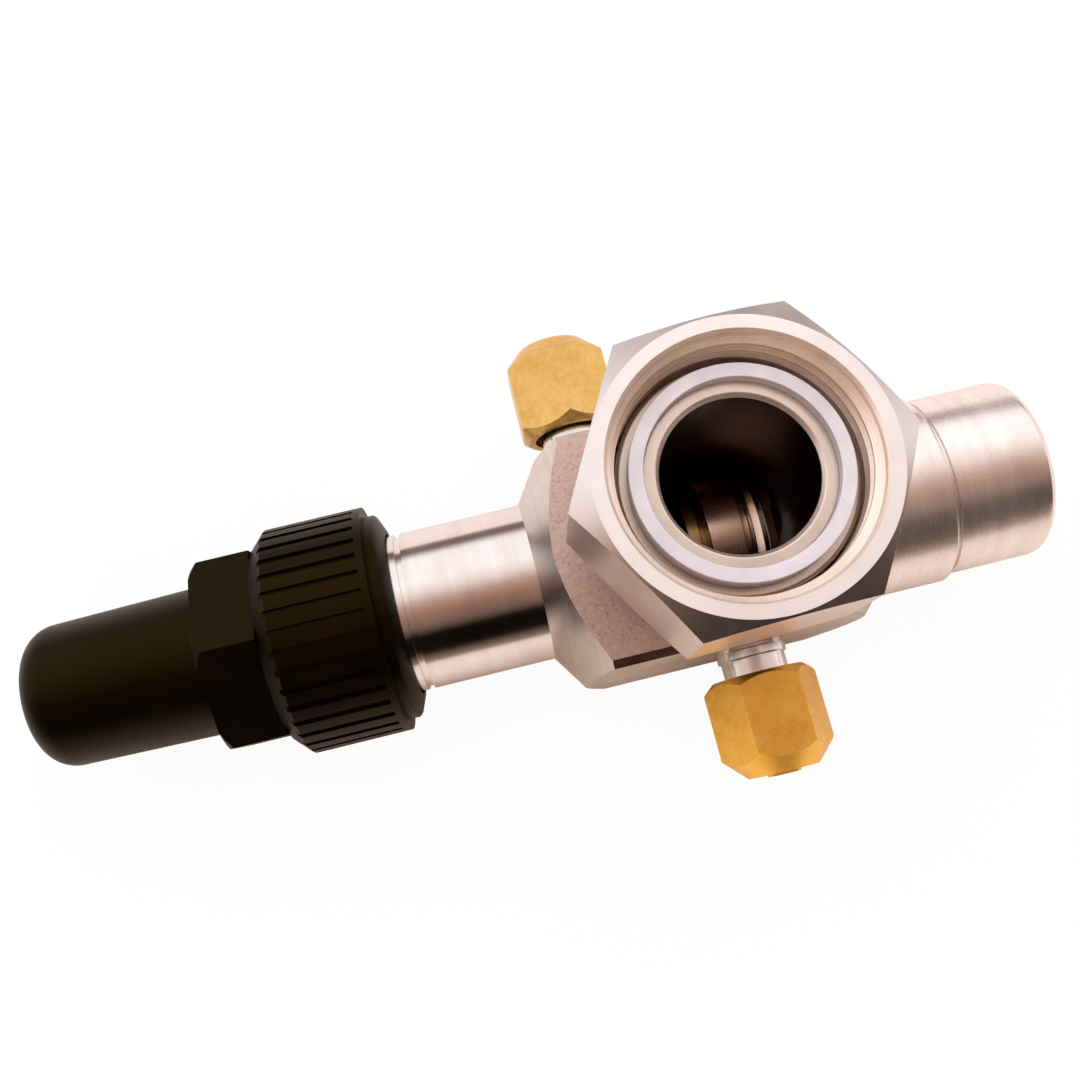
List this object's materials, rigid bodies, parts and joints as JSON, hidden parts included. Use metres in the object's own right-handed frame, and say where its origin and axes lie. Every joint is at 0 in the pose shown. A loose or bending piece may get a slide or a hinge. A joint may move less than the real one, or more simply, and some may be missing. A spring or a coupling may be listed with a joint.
{
  "type": "rotalock valve",
  "caption": "Angle service valve with a hexagon union nut port, solder tube end, spindle under a ribbed seal cap, and two capped flare service ports.",
  "frame": {"origin": "centre of the front of the rotalock spud's nose", "axes": "+Z out of the rotalock port, +X along the spindle towards the solder tube, +Y towards the upper service port"},
  "size_m": [0.1464, 0.07, 0.0585],
  "materials": {
    "forged_steel": "nickel plated, satin as forged on the block and bright turned on neck and stub",
    "turned_steel": "nickel plated, bright turned",
    "nut_steel": "nickel plated, satin with a bright front face",
    "inner_steel": "plain turned steel, oiled",
    "brass": "satin machined brass",
    "cap_plastic": "satin black moulded plastic",
    "gasket_ptfe": "white fluoropolymer, satin",
    "packing_graphite": "pressed graphite packing",
    "seal_rubber": "black rubber, satin",
    "spring_steel": "drawn spring wire"
  },
  "bodies": {
    "valve": {"valve_body": "forged_steel", "solder_connector": "turned_steel", "rotalock_spud": "turned_steel", "rotalock_gasket": "gasket_ptfe", "packing_washer": "inner_steel", "packing_ring_1": "packing_graphite", "packing_ring_2": "packing_graphite", "packing_ring_3": "packing_graphite", "gland_ring": "inner_steel", "gland_nut": "inner_steel", "lower_port_nipple": "turned_steel", "upper_port_nipple": "turned_steel", "core_body": "brass", "core_seal": "gasket_ptfe"},
    "rotalock_nut": {"rotalock_nut": "nut_steel"},
    "disc": {"valve_disc": "inner_steel", "back_seat_ring": "brass", "front_seat_ring": "inner_steel", "disc_retainer": "spring_steel"},
    "spindle": {"spindle": "inner_steel"},
    "seal_cap_gasket": {"seal_cap_gasket": "seal_rubber"},
    "seal_cap": {"seal_cap": "cap_plastic"},
    "lower_cap_seal": {"lower_cap_seal": "gasket_ptfe"},
    "lower_flare_cap": {"lower_flare_cap": "brass"},
    "upper_cap_seal": {"upper_cap_seal": "gasket_ptfe"},
    "upper_flare_cap": {"upper_flare_cap": "brass"},
    "core_pin": {"core_pin": "brass", "core_spring": "spring_steel"}
  },
  "joints": [
    {"name": "nut_spin", "type": "hinge", "parent": "valve", "child": "rotalock_nut", "pos_m": [0, 0, 0], "axis": [0, 0, 1], "continuous": true},
    {"name": "disc_travel", "type": "slide", "parent": "valve", "child": "disc", "axis": [1, 0, 0], "range_m": [-0.0059, 0.0059]},
    {"name": "spindle_turn", "type": "hinge", "parent": "disc", "child": "spindle", "pos_m": [0, 0, -0.0373], "axis": [1, 0, 0], "range_deg": [-1417, 1417]},
    {"name": "seal_cap_travel", "type": "slide", "parent": "valve", "child": "seal_cap_gasket", "axis": [-1, 0, 0], "range_m": [0, 0.014]},
    {"name": "seal_cap_turn", "type": "hinge", "parent": "seal_cap_gasket", "child": "seal_cap", "pos_m": [-0.054, 0, -0.0373], "axis": [-1, 0, 0], "range_deg": [0, 2515]},
    {"name": "lower_cap_travel", "type": "slide", "parent": "valve", "child": "lower_cap_seal", "axis": [0, -1, 0], "range_m": [0, 0.008]},
    {"name": "lower_cap_turn", "type": "hinge", "parent": "lower_cap_seal", "child": "lower_flare_cap", "pos_m": [0.0028, -0.03, -0.0373], "axis": [0, -1, 0], "range_deg": [0, 2260]},
    {"name": "upper_cap_travel", "type": "slide", "parent": "valve", "child": "upper_cap_seal", "axis": [0, 1, 0], "range_m": [0, 0.008]},
    {"name": "upper_cap_turn", "type": "hinge", "parent": "upper_cap_seal", "child": "upper_flare_cap", "pos_m": [-0.0143, 0.03, -0.0373], "axis": [0, 1, 0], "range_deg": [0, 2260]},
    {"name": "core_pin_push", "type": "slide", "parent": "valve", "child": "core_pin", "axis": [0, 1, 0], "range_m": [0, 0.0015], "stiffness_N_per_m": 800, "springref_m": -0.001}
  ],
  "couplings": [
    {"joint": "spindle_turn", "follows": "disc_travel", "rad_per_m": 4188.8},
    {"joint": "seal_cap_travel", "follows": "seal_cap_turn", "m_per_rad": 0.00031831},
    {"joint": "lower_cap_travel", "follows": "lower_cap_turn", "m_per_rad": 0.00020213},
    {"joint": "upper_cap_travel", "follows": "upper_cap_turn", "m_per_rad": 0.00020213}
  ]
}
